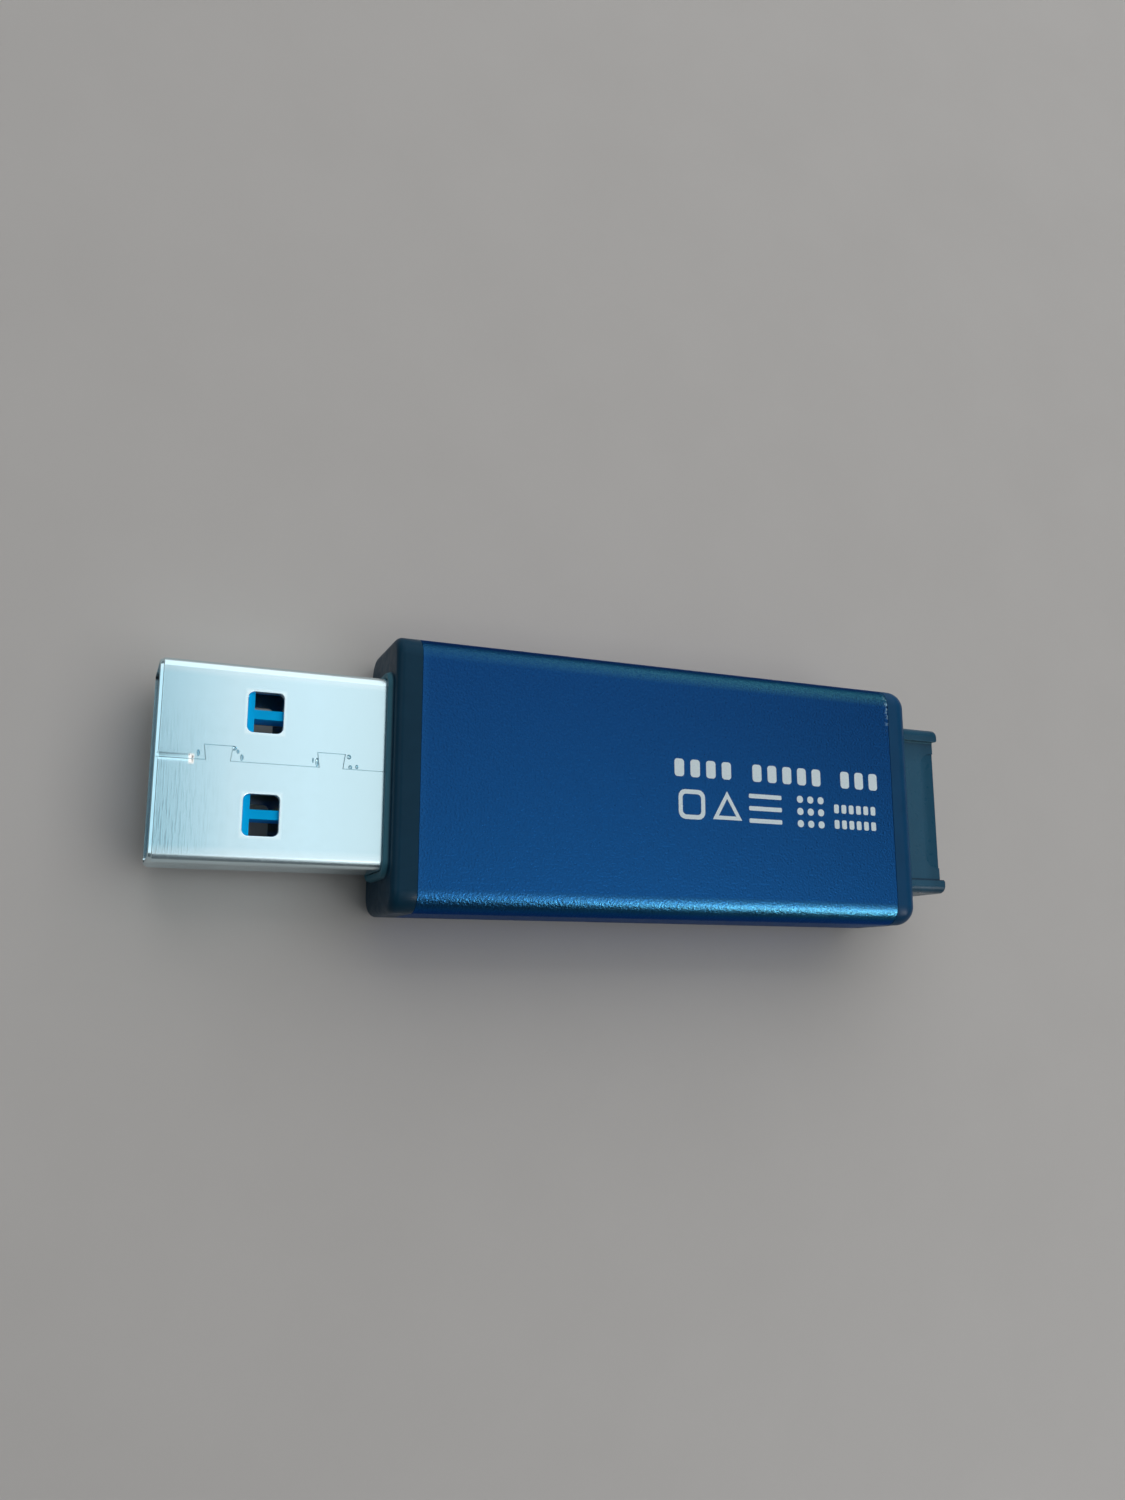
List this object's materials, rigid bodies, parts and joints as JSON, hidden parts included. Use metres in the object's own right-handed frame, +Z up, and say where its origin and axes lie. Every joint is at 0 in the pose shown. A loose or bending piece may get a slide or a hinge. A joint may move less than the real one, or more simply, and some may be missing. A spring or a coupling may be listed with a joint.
{
  "type": "usb flash drive",
  "caption": "Slim rectangular flash drive with a bare standard-A plug, an aluminium sleeve between dark plastic ends, and a rear post that holds the plug's cap.",
  "frame": {"origin": "middle of the drive's footprint, on the surface that it lies on", "axes": "+X along the drive, out of the plug's mouth; +Z up, out of the broad face on the side of the plug's seam; +Y across the drive, to the left when looking out of the plug's mouth"},
  "size_m": [0.056, 0.0172, 0.0072],
  "materials": {
    "sleeve": "fine blasted and anodised dark blue",
    "trim": "satin moulded, near black blue",
    "post": "satin moulded, dark slate",
    "shell": "bright nickel plated, faint insertion scratches",
    "tongue": "moulded light blue",
    "contact": "gold flashed copper alloy",
    "board": "green solder mask",
    "carrier": "moulded black",
    "package": "moulded epoxy",
    "ceramic": "fired ceramic, tinned ends",
    "can": "satin lid",
    "ink": "printed pale blue white"
  },
  "bodies": {
    "drive": {"body_sleeve": "sleeve", "front_bezel": "trim", "rear_ring": "trim", "cap_post": "post", "plug_shell": "shell", "plug_tongue": "tongue", "contact_retainer": "tongue", "power_contact": "contact", "data_minus_contact": "contact", "data_plus_contact": "contact", "ground_contact": "contact", "spring_lead_1": "contact", "spring_lead_2": "contact", "spring_lead_3": "contact", "spring_lead_4": "contact", "spring_lead_5": "contact", "circuit_board": "board", "carrier_lower": "carrier", "carrier_upper": "carrier", "memory_chip": "package", "controller_chip": "package", "clock_crystal": "can", "voltage_regulator": "package", "power_inductor": "package", "bypass_capacitor_1": "ceramic", "bypass_capacitor_2": "ceramic", "bypass_capacitor_3": "ceramic", "bypass_capacitor_4": "ceramic", "bulk_capacitor": "ceramic", "pull_up_resistor_1": "package", "pull_up_resistor_2": "package", "load_capacitor_1": "ceramic", "load_capacitor_2": "ceramic"},
    "spring_1": {"spring_contact_1": "contact"},
    "spring_2": {"spring_contact_2": "contact"},
    "spring_3": {"spring_contact_3": "contact"},
    "spring_4": {"spring_contact_4": "contact"},
    "spring_5": {"spring_contact_5": "contact"}
  },
  "joints": [
    {"name": "spring_1_flex", "type": "hinge", "parent": "drive", "child": "spring_1", "pos_m": [0.01545, -0.004, 0.00374], "axis": [0, -1, 0], "range_deg": [0, 4.5], "stiffness_Nm_per_rad": 0.025},
    {"name": "spring_2_flex", "type": "hinge", "parent": "drive", "child": "spring_2", "pos_m": [0.01545, -0.002, 0.00374], "axis": [0, -1, 0], "range_deg": [0, 4.5], "stiffness_Nm_per_rad": 0.025},
    {"name": "spring_3_flex", "type": "hinge", "parent": "drive", "child": "spring_3", "pos_m": [0.01545, 0, 0.00374], "axis": [0, -1, 0], "range_deg": [0, 4.5], "stiffness_Nm_per_rad": 0.025},
    {"name": "spring_4_flex", "type": "hinge", "parent": "drive", "child": "spring_4", "pos_m": [0.01545, 0.002, 0.00374], "axis": [0, -1, 0], "range_deg": [0, 4.5], "stiffness_Nm_per_rad": 0.025},
    {"name": "spring_5_flex", "type": "hinge", "parent": "drive", "child": "spring_5", "pos_m": [0.01545, 0.004, 0.00374], "axis": [0, -1, 0], "range_deg": [0, 4.5], "stiffness_Nm_per_rad": 0.025}
  ]
}
